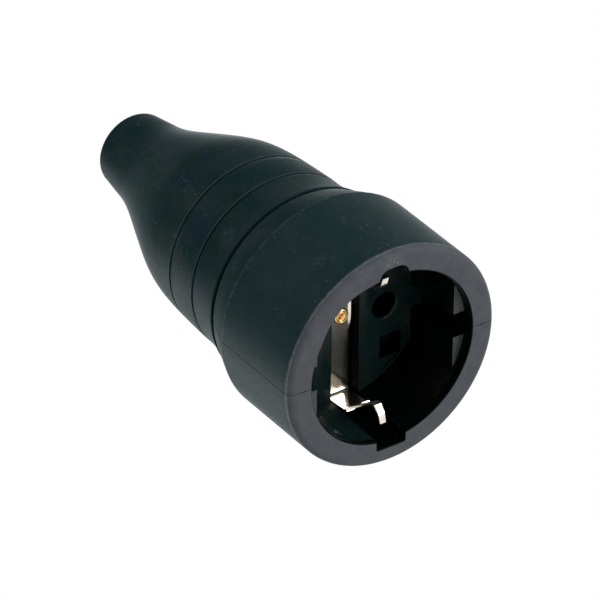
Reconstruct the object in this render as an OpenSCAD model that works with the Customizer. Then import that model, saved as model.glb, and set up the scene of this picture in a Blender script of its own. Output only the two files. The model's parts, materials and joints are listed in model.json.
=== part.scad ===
// Rubber inline socket for a mains lead, standing on its rim with the cord end up.
// Sizes are in millimetres. Z runs from the rim to the cord end, X through the two pins
// and Y through the two earth clips.

/* [Rubber housing] */
// Thickness of the rubber round the insert
collar_wall = 2.35; // [1.8:0.05:4]
// How far the collar reaches past the insert
collar_overhang = 1.6; // [0.5:0.1:4]
// Length of the cone behind the collar
flare_length = 7.4; // [6:0.1:9]
// Drop in radius over the cone
flare_drop = 2.9; // [2:0.1:3.2]
// Drop in radius from the foot of the cone to the waist
waist_drop = 1.5; // [1:0.1:1.8]
// Thickness of the rubber round the carrier at the waist
waist_wall = 3.05; // [2.4:0.05:3.6]
// Length of the housing behind the cord grip
tail_length = 36.5; // [30:0.5:50]
// Thickness of the rubber at the end of the nose
nose_wall = 3.55; // [2.5:0.05:4.5]
// Growth of the nose in diameter from its end to its root
nose_taper = 1.6; // [0.4:0.1:3]
// Rounding of the rim's outer edge
rim_round = 1.4; // [0.5:0.1:2]
// Rounding of the nose's end
nose_round = 1.6; // [0.5:0.1:2.5]
// Width of the groove at the foot of the cone
foot_groove_w = 0.9; // [0.5:0.1:1.5]
// Depth of the groove at the foot of the cone
foot_groove_depth = 0.8; // [0.4:0.1:1]
// Half width of each thin ring groove
ring_groove_r = 0.35; // [0.2:0.05:0.5]
// Distance from the foot of the cone to the first ring groove
first_ring_gap = 9.9; // [8:0.1:11]
// Distance between the two ring grooves
ring_pitch = 8.75; // [7:0.05:10]
// Thickness of the lip that holds the insert in
lip_t = 1.6; // [1.4:0.1:2]
// Diameter of the hole for the cord
cord_hole_d = 10; // [8:0.1:11]
// Length of the straight hole for the cord
cord_hole_length = 13; // [8:0.5:16]

/* [Plug recess] */
// Diameter of the mouth
mouth_d = 39; // [38.6:0.1:39.6]
// Depth from the rim to the face with the pin holes
face_depth = 16.4; // [16:0.1:17.5]
// Narrowing of the recess in diameter from the mouth to the face
recess_draft = 1.2; // [0.4:0.1:1.6]
// Distance from the mouth's edge in to each side flat
side_flat_depth = 2.9; // [2:0.1:3.5]
// Depth from the rim to the ledges of the side flats
ledge_depth = 2.5; // [2.2:0.1:3.5]
// Width of the slot in each side flat
side_slot_w = 5.5; // [4:0.1:6]
// Width of the earth clip channels
channel_w = 6.7; // [6:0.1:7.6]
// Distance from the mouth's edge out to the back of the channels
channel_depth = 1.8; // [1.4:0.1:2.4]
// Depth of the strap channel below the face
strap_channel_depth = 3.4; // [3:0.1:3.6]
// Distance between the two pins
pin_pitch = 19; // [18.8:0.1:19.2]
// Diameter of the pin holes
pin_hole_d = 5.4; // [5.2:0.1:6]
// Width of the pin holes' bevel
pin_bevel = 0.4; // [0.2:0.1:0.6]
// Side of the square moulding pockets
pocket_w = 5.2; // [4.5:0.1:5.4]
// Depth of the square moulding pockets
pocket_depth = 4.4; // [3:0.1:4.6]

/* [Insert and carrier] */
// Wall left behind the earth clip channels
insert_back_wall = 1.3; // [1.2:0.1:1.4]
// Thickness of the plate behind the face
plate_t = 5.8; // [5.6:0.1:6.2]
// Length of the contact carrier
carrier_length = 22.8; // [22.4:0.1:24]
// Depth of the rear chambers that hold the terminals
chamber_depth = 9; // [8.5:0.1:10]
// Distance from the carrier's body to the end of the cord grip
grip_reach = 13.5; // [12:0.1:16]
// Width of the cord grip along the cord
grip_length = 8; // [7:0.1:9]
// Thickness of the saddle between the cord and the nuts
saddle_t = 2.3; // [1.8:0.1:2.8]
// Wall of the saddle behind and beside the nuts
nut_cover_t = 0.9; // [0.5:0.1:1.2]
// Clearance between pieces that slide together
slide_gap = 0.1; // [0.05:0.01:0.15]

/* [Contacts] */
// Bore of the sleeves that take the pins
sleeve_bore_d = 4.9; // [4.85:0.01:5]
// Wall of the sleeves
sleeve_wall = 0.65; // [0.5:0.05:0.8]
// Length of the slotted part of the sleeves
sleeve_slot_length = 7.5; // [6:0.1:8]
// Width of the slots in the sleeves
sleeve_slot_w = 0.8; // [0.6:0.1:1]
// Thickness of the contact strips
strip_t = 0.8; // [0.6:0.05:1]
// Width of the contact strips
strip_w = 5.4; // [5:0.1:5.8]
// Wall of the terminal clamps
clamp_wall = 0.9; // [0.7:0.05:1]
// Thickness of the clamp wall with the thread
clamp_thread_wall = 2; // [1.8:0.1:2.2]
// Height of the opening in a terminal clamp
clamp_opening = 4.2; // [3.8:0.1:4.4]
// Length of a terminal clamp along the core
clamp_length = 6; // [5.5:0.1:6.5]

/* [Earth strap] */
// Thickness of the strap
strap_t = 0.6; // [0.5:0.05:0.8]
// Clearance on each side of the strap's widest part in its channel
strap_side_gap = 0.2; // [0.1:0.05:0.4]
// Narrowing of the strap at its folds
strap_fold_narrowing = 0.7; // [0.4:0.1:1.6]
// Narrowing of the strap between the middle and the folds
strap_neck_narrowing = 1; // [0.6:0.1:2.4]
// Radius inside the strap's folds
strap_fold_r = 0.8; // [0.6:0.1:1.2]
// Width of the tongue at the free end of a clip
clip_tongue_w = 2; // [1.6:0.1:3]
// Depth below the rim at which a clip narrows to its tongue
clip_shoulder_depth = 11.8; // [11:0.1:12.4]
// Distance from the back of a channel in to the fold of its clip
clip_back_gap = 2.2; // [1.6:0.1:2.6]
// How far a clip's crest, as a sharp corner, stands in from its fold
clip_spring = 5.7; // [5:0.1:6]
// Depth of a clip's crest below the rim
clip_crest_depth = 5.4; // [5:0.1:6]
// Radius of the bend at a clip's crest
clip_crest_r = 1.3; // [1:0.1:1.6]
// How far a clip's free end stands in from its fold
clip_tip_inset = 1.7; // [1:0.1:2.5]
// Depth of a clip's free end below the rim
clip_tip_depth = 2.5; // [2.2:0.1:3]
// Diameter of the rivet's head
rivet_head_d = 3.7; // [3.4:0.1:4]
// Height of the rivet's head
rivet_head_h = 1.5; // [1.2:0.1:1.6]
// Diameter of the rivet's shank
rivet_shank_d = 2.8; // [2.6:0.1:3]

/* [Screws] */
// Shank diameter of the terminal screws
terminal_screw_d = 3.4; // [3:0.1:3.6]
// Head diameter of the terminal screws
terminal_head_d = 5.2; // [4.8:0.1:5.6]
// Shank diameter of the carrier screws and the grip screws
small_screw_d = 2.9; // [2.6:0.1:3]
// Head diameter of the carrier screws and the grip screws
small_head_d = 5; // [4.6:0.1:5.2]
// Head height of every screw
screw_head_h = 2; // [1.6:0.1:2.2]
// Width of the nuts in the cord grip
nut_w = 5.5; // [5:0.1:5.6]
// Thickness of the nuts in the cord grip
nut_t = 2.2; // [1.8:0.1:2.4]

/* [Hidden] */

// How far a cut runs past the solid that it cuts
over = 0.5;
// Steps in a quarter of a rounded edge, and in a freely drawn curve
round_steps = 6;
curve_steps = 14;
// Clearance of a screw in its thread and in a pilot hole
thread_gap = 0.04;
// Clearance round pieces that lie loose in their chambers, and between the grip and the rubber
loose_gap = 2 * slide_gap;
grip_gap = 4 * slide_gap;
// Smoothness of round pieces
$fn = 96;

// Heights of the main parts above the rim
insert_z = lip_t + slide_gap;
plate_z = face_depth + plate_t;
carrier_z = plate_z;
carrier_end_z = carrier_z + carrier_length;
chamber_z = carrier_end_z - chamber_depth;
grip_end_z = carrier_end_z + grip_reach;
grip_mid_z = grip_end_z - grip_length / 2;
housing_length = grip_end_z + tail_length;
strap_back_z = face_depth + strap_channel_depth;
strap_face_z = strap_back_z - strap_t;

// Radii of the main parts
mouth_r = mouth_d / 2;
channel_reach = mouth_r + channel_depth;
insert_r = channel_reach + insert_back_wall;
collar_r = insert_r + slide_gap + collar_wall;
foot_r = collar_r - flare_drop;
waist_r = foot_r - waist_drop;
carrier_cavity_r = waist_r - waist_wall;
carrier_r = carrier_cavity_r - loose_gap;
face_r = mouth_r - slide_gap - recess_draft / 2;
flat_x = mouth_r - side_flat_depth;
cord_hole_r = cord_hole_d / 2;
sleeve_r = sleeve_bore_d / 2 + sleeve_wall;
pin_x = pin_pitch / 2;

// Outline of the housing
collar_length = plate_z + collar_overhang;
foot_z = collar_length + flare_length;
belly_z = foot_z + foot_groove_w;
belly_length = housing_length - belly_z;
waist_share = 0.175;
flank_share = 0.62;
nose_root_share = 0.89;
waist_z = belly_z + waist_share * belly_length;
flank_z = belly_z + flank_share * belly_length;
nose_root_z = belly_z + nose_root_share * belly_length;
nose_end_r = cord_hole_r + nose_wall;
nose_root_r = nose_end_r + nose_taper / 2;
foot_point = [foot_r, belly_z];
waist_point = [waist_r, waist_z];
flank_point = [(waist_r + nose_root_r) / 2, flank_z];
root_point = [nose_root_r, nose_root_z];
flank_steep_share = 1.12;
flank_slope = flank_steep_share * (waist_r - nose_root_r) / (nose_root_z - (flank_z + waist_z) / 2);
nose_slope = (nose_root_r - nose_end_r) / (housing_length - nose_root_z);
ring_zs = [foot_z + first_ring_gap, foot_z + first_ring_gap + ring_pitch];

// Cord grip: a saddle on an arm of the carrier, with a bar across it
trough_r = cord_hole_r - grip_gap;
grip_seat_y = -trough_r / 4;
bar_t = small_screw_d;
bar_ridge_share = 0.7;
bar_ridge_r = bar_ridge_share * trough_r;
grip_screw_x = trough_r + nut_w / 2 - loose_gap;
nut_y = trough_r + saddle_t;
grip_back_y = nut_y + nut_t + nut_cover_t;
grip_half_w = grip_screw_x + nut_w / 2 + nut_cover_t;

// Cavity behind the carrier, which narrows past the grip to the hole for the cord
grip_room_r = norm([grip_half_w, grip_back_y]) + loose_gap;
cavity_end_z = housing_length - cord_hole_length;
cavity_shoulder_share = 0.68;
cavity_shoulder_z = carrier_end_z + cavity_shoulder_share * grip_reach;

// Pockets in the face, and the screws that hold the carrier to the insert
pocket_share = [0.64, 0.57];
pocket_spot = carrier_r * pocket_share;
screw_share = [-0.59, 0.53];
screw_spot = carrier_r * screw_share;
screw_seat_z = carrier_z + carrier_length / 2;
pilot_z = face_depth + small_screw_d / 2;
arm_half_w = abs(screw_spot[0]) - small_head_d / 2 - grip_gap;

// Terminals: the strip lies on the clamp's thin wall, and the screw comes through the thick one
strip_y = -clamp_opening / 2 - strip_t;
clamp_w = strip_w + loose_gap + 2 * clamp_wall;
clamp_back_y = strip_y - clamp_wall;
clamp_front_y = clamp_opening / 2 + clamp_thread_wall;
clamp_z = chamber_z + strip_t + loose_gap;
clamp_mid_z = clamp_z + clamp_length / 2;
head_seat_y = clamp_front_y + screw_head_h / 2;
earth_head_y = sqrt(pow(carrier_r, 2) - pow(terminal_head_d / 2, 2)) - grip_gap;
earth_y = earth_head_y - head_seat_y - screw_head_h;

// Contact sleeves
sleeve_front_z = carrier_z + strip_t;
sleeve_seat_z = sleeve_front_z + sleeve_slot_length + sleeve_wall;
spring_t_share = 0.7;
spring_h_share = 0.3;
spring_t = spring_t_share * sleeve_wall;
spring_h = spring_h_share * sleeve_slot_length;
spring_z = sleeve_front_z + spring_h;
spring_room_r = sleeve_r + 2 * spring_t;

// Rivet, with the washer and the rivet's rolled end behind the earth tab
shank_r = rivet_shank_d / 2;
washer_t_share = 0.6;
washer_t = washer_t_share * strip_t;
washer_r = rivet_shank_d;
rolled_z = carrier_z + strip_t + washer_t;
rolled_h = rivet_head_h / 2;

// Points of a curve that leaves a towards b and reaches d from c, without a itself
function curve(a, b, c, d) = [
    for (i = [1 : curve_steps])
        let (t = i / curve_steps)
            pow(1 - t, 3) * a + 3 * t * pow(1 - t, 2) * b + 3 * t * t * (1 - t) * c + t * t * t * d
];

// Points of an arc about a centre
function arc(centre, r, from, to) = [
    for (i = [0 : round_steps])
        let (angle = from + (to - from) * i / round_steps)
            centre + r * [cos(angle), sin(angle)]
];

// Points of the round bend, of radius r, that takes a path from a to c past its corner b
function unit(v) = v / norm(v);
function bend(a, b, c, r) = let (
    u = unit(a - b),
    v = unit(c - b),
    half = acos(u * v) / 2,
    turn = 180 - 2 * half,
    centre = b + unit(u + v) * r / sin(half),
    from = b + u * r / tan(half) - centre,
    to = b + v * r / tan(half) - centre
) [
    for (i = [0 : round_steps])
        let (t = i / round_steps)
            centre + (sin((1 - t) * turn) * from + sin(t * turn) * to) / sin(turn)
];

// A sheet's outline: its path, and the same path set off to its left by the thickness
function left_of(a, b) = let (d = b - a) [-d[1], d[0]] / norm(d);
function sheet(path, t) = let (
    last = len(path) - 1,
    sides = [
        for (i = [0 : last])
            let (
                n = left_of(path[max(i - 1, 0)], path[max(i, 1)]),
                m = left_of(path[min(i, last - 1)], path[min(i + 1, last)])
            ) (n + m) / (1 + n * m)
    ]
) concat(path, [for (i = [last : -1 : 0]) path[i] + t * sides[i]]);

// The outer skin of the housing, from the foot of the cone over waist and flank to the nose
foot_hold_share = 0.38;
waist_ease_share = 0.28;
shoulder_drop_share = 0.6;
shoulder_share = 0.61;
flank_hold_share = 0.38;
root_ease_share = 0.35;
waist_rise = waist_z - belly_z;
flank_rise = flank_z - waist_z;
root_rise = nose_root_z - flank_z;
belly_line = concat(
    [foot_point],
    curve(
        foot_point,
        foot_point + [-waist_drop, foot_hold_share * waist_rise],
        waist_point - [0, waist_ease_share * waist_rise],
        waist_point
    ),
    curve(
        waist_point,
        waist_point + [-shoulder_drop_share * waist_drop, shoulder_share * flank_rise],
        flank_point - flank_hold_share * flank_rise * [-flank_slope, 1],
        flank_point
    ),
    curve(
        flank_point,
        flank_point + flank_hold_share * root_rise * [-flank_slope, 1],
        root_point - root_ease_share * root_rise * [-nose_slope, 1],
        root_point
    )
);

// Radius of the outer skin at a height between the belly and the nose
function skin_r(z) = lookup(z, [for (p = belly_line) [p[1], p[0]]]);

module at_pins() {
    for (side = [-1, 1])
        translate([side * pin_x, 0, 0])
            children();
}

module at_opposite(spot) {
    for (side = [-1, 1])
        translate(side * [spot[0], spot[1], 0])
            children();
}

module at_earth() {
    translate([0, -earth_y, 0])
        rotate([0, 0, 180])
            children();
}

// A round bar or hole along Y, from one place to another
module cross_bore(r, from, to, z) {
    translate([0, from, z])
        rotate([-90, 0, 0])
            cylinder(r = r, h = to - from);
}

// A block centred on X and Y
module block(size, z) {
    translate([-size[0] / 2, -size[1] / 2, z])
        cube(size);
}

module rubber_housing() {
    color([0.14, 0.15, 0.16])
        difference() {
            rotate_extrude()
                polygon(concat(
                    [[0, 0]],
                    arc([collar_r - rim_round, rim_round], rim_round, -90, 0),
                    [[collar_r, collar_length], [foot_r, foot_z]],
                    [[foot_r - foot_groove_depth, foot_z], [foot_r - foot_groove_depth, belly_z]],
                    belly_line,
                    arc([nose_end_r - nose_round, housing_length - nose_round], nose_round, 0, 90),
                    [[0, housing_length]]
                ));
            housing_cavity();
            for (z = ring_zs)
                rotate_extrude()
                    translate([skin_r(z), z])
                        circle(ring_groove_r, $fn = 16);
            rim_notches();
        }
}

module housing_cavity() {
    rotate_extrude()
        polygon([
            [0, -over],
            [mouth_r, -over],
            [mouth_r, lip_t],
            [insert_r + slide_gap, lip_t],
            [insert_r + slide_gap, plate_z + slide_gap],
            [carrier_cavity_r, plate_z + slide_gap],
            [carrier_cavity_r, cavity_shoulder_z],
            [grip_room_r, grip_end_z],
            [cord_hole_r, cavity_end_z],
            [cord_hole_r, housing_length + over],
            [0, housing_length + over]
        ]);
}

// The lip is notched over both earth clips, square at one and round at the other
module rim_notches() {
    corner_r = channel_w / 3;
    translate([0, 0, -over])
        linear_extrude(height = lip_t + 2 * over) {
            translate([-channel_w / 2, 0])
                square([channel_w, channel_reach]);
            translate([-channel_w / 2, corner_r - channel_reach])
                square([channel_w, channel_reach]);
            translate([corner_r - channel_w / 2, -channel_reach])
                square([channel_w - 2 * corner_r, channel_reach]);
            for (side = [-1, 1])
                translate([side * (channel_w / 2 - corner_r), corner_r - channel_reach])
                    circle(corner_r);
        }
}

module socket_insert() {
    color([0.05, 0.055, 0.06])
        difference() {
            translate([0, 0, insert_z])
                cylinder(r = insert_r, h = plate_z - insert_z);
            recess();
            block([channel_w, 2 * channel_reach, strap_back_z - insert_z + over], insert_z - over);
            at_pins() {
                cylinder(d = pin_hole_d, h = plate_z + over);
                translate([0, 0, face_depth - over])
                    cylinder(
                        r1 = pin_hole_d / 2 + pin_bevel + over,
                        r2 = pin_hole_d / 2,
                        h = pin_bevel + over
                    );
            }
            at_opposite(pocket_spot)
                block([pocket_w, pocket_w, pocket_depth + over], face_depth - over);
            at_opposite(screw_spot)
                translate([0, 0, pilot_z])
                    cylinder(r = small_screw_d / 2 + thread_gap, h = plate_z);
            cylinder(r = shank_r + slide_gap, h = plate_z + over);
        }
}

// The round well, less the flats at its sides, which are each parted by a slot
module recess() {
    difference() {
        rotate_extrude()
            polygon([
                [0, insert_z - over],
                [mouth_r - slide_gap, insert_z - over],
                [mouth_r - slide_gap, ledge_depth],
                [face_r, face_depth],
                [0, face_depth]
            ]);
        for (side = [0, 180])
            rotate([0, 0, side])
                side_flat();
    }
}

module side_flat() {
    difference() {
        rotate([90, 0, 0])
            linear_extrude(height = 2 * insert_r, center = true)
                polygon([
                    [flat_x, ledge_depth],
                    [insert_r, ledge_depth],
                    [insert_r, face_depth + over],
                    [flat_x - recess_draft / 2, face_depth + over]
                ]);
        block([2 * insert_r + over, side_slot_w, face_depth + 2 * over], 0);
    }
}

module contact_carrier() {
    color([0.09, 0.09, 0.1])
        difference() {
            union() {
                translate([0, 0, carrier_z])
                    cylinder(r = carrier_r, h = carrier_length);
                translate([-arm_half_w, grip_back_y - small_screw_d, carrier_end_z - over])
                    cube([2 * arm_half_w, small_screw_d, grip_reach + over]);
                translate([-grip_half_w, grip_seat_y, grip_end_z - grip_length])
                    cube([2 * grip_half_w, grip_back_y - grip_seat_y, grip_length]);
            }
            at_pins()
                terminal_bay();
            at_earth()
                terminal_chamber();
            earth_tab_groove();
            at_opposite(screw_spot) {
                translate([0, 0, carrier_z - over])
                    cylinder(r = small_screw_d / 2 + slide_gap, h = carrier_length);
                translate([0, 0, screw_seat_z])
                    cylinder(r = small_head_d / 2 + loose_gap, h = carrier_length);
            }
            grip_cuts();
        }
}

// A sleeve's stepped hole, the chamber for its terminal and the way in for the screwdriver
module terminal_bay() {
    translate([0, 0, carrier_z - over])
        cylinder(r = spring_room_r, h = sleeve_seat_z - carrier_z + over);
    translate([0, 0, sleeve_seat_z - over])
        cylinder(r = sleeve_r + slide_gap / 2, h = chamber_z - sleeve_seat_z + 2 * over);
    terminal_chamber();
}

module terminal_chamber() {
    translate([-clamp_w / 2 - loose_gap, clamp_back_y - loose_gap, chamber_z])
        cube([clamp_w + 2 * loose_gap, clamp_front_y - clamp_back_y + 2 * loose_gap, chamber_depth + over]);
    cross_bore(terminal_head_d / 2 + loose_gap, 0, carrier_r + over, clamp_mid_z);
}

// Room for the earth tab on the carrier's front and for its leg through the carrier
module earth_tab_groove() {
    room = slide_gap;
    leg_y = -earth_y - strip_y - strip_t;
    translate([-strip_w / 2 - room, leg_y - room, carrier_z - over])
        cube([strip_w + 2 * room, strip_t + 2 * room, chamber_z - carrier_z + 2 * over]);
    translate([-strip_w / 2 - room, leg_y - room, carrier_z - over])
        cube([strip_w + 2 * room, washer_r - leg_y + 2 * room, strip_t + room + over]);
    translate([0, 0, carrier_z - over])
        cylinder(r = washer_r + room, h = strip_t + washer_t + 2 * rolled_h + over);
}

module grip_cuts() {
    translate([0, 0, grip_end_z - grip_length - over])
        cylinder(r = trough_r, h = grip_length + 2 * over);
    for (side = [-1, 1])
        translate([side * grip_screw_x, 0, 0]) {
            cross_bore(small_screw_d / 2 + slide_gap, grip_seat_y - over, grip_back_y + over, grip_mid_z);
            translate([-nut_w / 2 - slide_gap, nut_y, grip_mid_z - nut_w / 2 - slide_gap])
                cube([nut_w + 2 * slide_gap, grip_back_y, nut_w + 2 * slide_gap]);
        }
}

// One folded sheet: a flat strap under the face, and a sprung clip at each end
module earth_strap() {
    color([0.78, 0.76, 0.72])
        difference() {
            union() {
                translate([0, 0, strap_face_z])
                    linear_extrude(height = strap_t)
                        strap_plan();
                for (side = [0, 180])
                    rotate([0, 0, side])
                        earth_clip();
            }
            cylinder(r = shank_r + slide_gap, h = plate_z);
        }
}

strap_middle_w = channel_w - 2 * strap_side_gap;
strap_fold_w = strap_middle_w - strap_fold_narrowing;
strap_w = strap_middle_w - strap_neck_narrowing;
clip_fold_reach = channel_reach - clip_back_gap;
clip_crest_reach = clip_fold_reach - clip_spring;
strap_middle_share = 0.19;
strap_neck_share = 0.25;
strap_flare_share = 0.8;
strap_end_share = 0.91;
strap_end = clip_fold_reach - strap_fold_r - strap_t / 2;
module strap_plan() {
    half = [
        [strap_middle_w / 2, 0],
        [strap_middle_w / 2, strap_middle_share * clip_fold_reach],
        [strap_w / 2, strap_neck_share * clip_fold_reach],
        [strap_w / 2, strap_flare_share * clip_fold_reach],
        [strap_fold_w / 2, strap_end_share * clip_fold_reach],
        [strap_fold_w / 2, strap_end]
    ];
    for (side = [0, 180])
        rotate([0, 0, side])
            polygon(concat(half, [for (i = [len(half) - 1 : -1 : 0]) [-half[i][0], half[i][1]]]));
}

// A clip rises from its fold as a plate, and ends in a narrow tongue that bends in and out again
clip_lean_share = 0.1;
clip_bend_share = 0.52;
clip_root = [strap_end_share * clip_fold_reach, strap_face_z];
clip_fold = [clip_fold_reach, strap_face_z];
clip_bend = [
    clip_fold_reach - clip_lean_share * (clip_fold_reach - clip_crest_reach),
    clip_crest_depth + clip_bend_share * (strap_face_z - clip_crest_depth)
];
clip_crest = [clip_crest_reach, clip_crest_depth];
clip_tip = [clip_fold_reach - clip_tip_inset, clip_tip_depth];
clip_face = concat(
    [clip_root],
    bend(clip_root, clip_fold, clip_bend, strap_fold_r),
    bend(clip_fold, clip_bend, clip_crest, clip_crest_r),
    bend(clip_bend, clip_crest, clip_tip, clip_crest_r),
    [clip_tip]
);

module earth_clip() {
    intersection() {
        rotate([90, 0, 90])
            linear_extrude(height = strap_fold_w, center = true)
                polygon(sheet(clip_face, strap_t));
        rotate([90, 0, 180])
            linear_extrude(height = channel_reach)
                polygon([
                    [-strap_fold_w / 2, strap_back_z + over],
                    [strap_fold_w / 2, strap_back_z + over],
                    [strap_fold_w / 2, clip_shoulder_depth],
                    [clip_tongue_w / 2, clip_shoulder_depth],
                    [clip_tongue_w / 2, clip_tip_depth - over],
                    [-clip_tongue_w / 2, clip_tip_depth - over],
                    [-clip_tongue_w / 2, clip_shoulder_depth],
                    [-strap_fold_w / 2, clip_shoulder_depth]
                ]);
    }
}

// A hollow rivet, its head on the strap and its rolled end behind the earth tab
rivet_crown_share = 0.85;
rivet_crown_drop_share = 0.12;
rivet_dish_share = 0.33;
module strap_rivet() {
    head_r = rivet_head_d / 2;
    top_z = strap_face_z - rivet_head_h;
    hollow_r = shank_r / 2;
    end_r = (shank_r + washer_r) / 2;
    color([0.8, 0.6, 0.25])
        rotate_extrude()
            polygon([
                [hollow_r, top_z + rivet_dish_share * rivet_head_h],
                [(hollow_r + head_r) / 2, top_z],
                [rivet_crown_share * head_r, top_z + rivet_crown_drop_share * rivet_head_h],
                [head_r, top_z + rivet_head_h / 2],
                [head_r, strap_face_z],
                [shank_r, strap_face_z],
                [shank_r, rolled_z],
                [end_r, rolled_z],
                [end_r, rolled_z + rolled_h / 2],
                [shank_r, rolled_z + rolled_h],
                [hollow_r, rolled_z + rolled_h]
            ]);
}

module rivet_washer() {
    color([0.8, 0.8, 0.78])
        difference() {
            translate([0, 0, carrier_z + strip_t])
                cylinder(r = washer_r, h = washer_t);
            cylinder(r = shank_r + thread_gap, h = housing_length);
        }
}

module earth_tab() {
    leg_y = -earth_y - strip_y - strip_t;
    color([0.8, 0.65, 0.35])
        difference() {
            union() {
                translate([-strip_w / 2, leg_y, carrier_z])
                    cube([strip_w, washer_r - leg_y, strip_t]);
                translate([-strip_w / 2, leg_y, carrier_z])
                    cube([strip_w, strip_t, carrier_end_z - strip_t - carrier_z]);
            }
            cylinder(r = shank_r + thread_gap, h = housing_length);
        }
}

// A slotted sleeve for one pin, with a foot on the chamber's floor and a strip for the terminal
module pin_contact() {
    color([0.82, 0.66, 0.33]) {
        difference() {
            translate([0, 0, sleeve_front_z])
                cylinder(r = sleeve_r, h = chamber_z - sleeve_front_z + strip_t / 2);
            translate([0, 0, sleeve_front_z - over])
                cylinder(d = sleeve_bore_d, h = chamber_z - sleeve_front_z + over);
            block([3 * sleeve_r, sleeve_slot_w, sleeve_slot_length + over], sleeve_front_z - over);
        }
        translate([-strip_w / 2, strip_y, chamber_z])
            cube([strip_w, -2 * strip_y, strip_t]);
        translate([-strip_w / 2, strip_y, chamber_z])
            cube([strip_w, strip_t, chamber_depth - strip_t]);
    }
}

// An open steel ring that keeps the sleeve's leaves closed on the pin
module sleeve_spring() {
    color([0.6, 0.61, 0.63])
        difference() {
            translate([0, 0, spring_z])
                cylinder(r = sleeve_r + spring_t, h = spring_h);
            cylinder(r = sleeve_r + thread_gap / 2, h = housing_length);
            translate([0, -sleeve_r / 2, spring_z - over])
                cube([2 * sleeve_r, sleeve_r, spring_h + 2 * over]);
        }
}

module terminal_clamp() {
    color([0.75, 0.76, 0.78])
        difference() {
            translate([-clamp_w / 2, clamp_back_y, clamp_z])
                cube([clamp_w, clamp_front_y - clamp_back_y, clamp_length]);
            translate([-clamp_w / 2 + clamp_wall, strip_y, clamp_z - over])
                cube([clamp_w - 2 * clamp_wall, clamp_opening + strip_t, clamp_length + 2 * over]);
            cross_bore(terminal_screw_d / 2 + thread_gap, 0, clamp_front_y + over, clamp_mid_z);
        }
}

// A slotted screw that stands on the origin with its shank below and its head above
module slotted_screw(shank_d, shank_length, head_d) {
    translate([0, 0, -shank_length])
        cylinder(d = shank_d, h = shank_length + screw_head_h / 2);
    difference() {
        cylinder(d = head_d, h = screw_head_h);
        translate([-head_d, -screw_head_h / 4, screw_head_h / 2])
            cube([2 * head_d, screw_head_h / 2, screw_head_h]);
    }
}

module terminal_screw() {
    translate([0, head_seat_y, clamp_mid_z])
        rotate([-90, 0, 0])
            slotted_screw(terminal_screw_d, head_seat_y, terminal_head_d);
}

module terminal_screws() {
    color([0.72, 0.73, 0.75]) {
        at_pins()
            terminal_screw();
        at_earth()
            terminal_screw();
    }
}

module carrier_screws() {
    color([0.72, 0.73, 0.75])
        at_opposite(screw_spot)
            translate([0, 0, screw_seat_z])
                slotted_screw(small_screw_d, screw_seat_z - pilot_z - slide_gap, small_head_d);
}

module cord_grip_bar() {
    color([0.09, 0.09, 0.1])
        difference() {
            union() {
                translate([-grip_half_w, grip_seat_y - bar_t, grip_end_z - grip_length])
                    cube([2 * grip_half_w, bar_t, grip_length]);
                translate([0, grip_seat_y - bar_t / 2, grip_end_z - grip_length])
                    cylinder(r = bar_ridge_r, h = grip_length);
            }
            for (side = [-1, 1])
                translate([side * grip_screw_x, 0, 0])
                    cross_bore(small_screw_d / 2 + slide_gap, -carrier_r, carrier_r, grip_mid_z);
        }
}

module cord_grip_screws() {
    color([0.72, 0.73, 0.75])
        for (side = [-1, 1])
            translate([side * grip_screw_x, grip_seat_y - bar_t, grip_mid_z])
                rotate([90, 0, 0])
                    slotted_screw(small_screw_d, nut_y + nut_t - grip_seat_y + bar_t, small_head_d);
}

module cord_grip_nuts() {
    color([0.72, 0.73, 0.75])
        for (side = [-1, 1])
            translate([side * grip_screw_x, 0, 0])
                difference() {
                    translate([-nut_w / 2, nut_y, grip_mid_z - nut_w / 2])
                        cube([nut_w, nut_t, nut_w]);
                    cross_bore(small_screw_d / 2 + thread_gap, 0, carrier_r, grip_mid_z);
                }
}

module line_contact() { translate([-pin_x, 0, 0]) pin_contact(); }
module neutral_contact() { translate([pin_x, 0, 0]) pin_contact(); }
module line_spring() { translate([-pin_x, 0, 0]) sleeve_spring(); }
module neutral_spring() { translate([pin_x, 0, 0]) sleeve_spring(); }
module line_clamp() { translate([-pin_x, 0, 0]) terminal_clamp(); }
module neutral_clamp() { translate([pin_x, 0, 0]) terminal_clamp(); }
module earth_clamp() { at_earth() terminal_clamp(); }

rubber_housing();
socket_insert();
contact_carrier();
earth_strap();
strap_rivet();
rivet_washer();
earth_tab();
earth_clamp();
line_contact();
neutral_contact();
line_spring();
neutral_spring();
line_clamp();
neutral_clamp();
terminal_screws();
carrier_screws();
cord_grip_bar();
cord_grip_screws();
cord_grip_nuts();
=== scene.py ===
"""Looks of the rubber inline socket: camera, light, materials and detailed meshes."""

import json
import math

import bmesh
import bpy
from mathutils import Matrix, Vector


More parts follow.
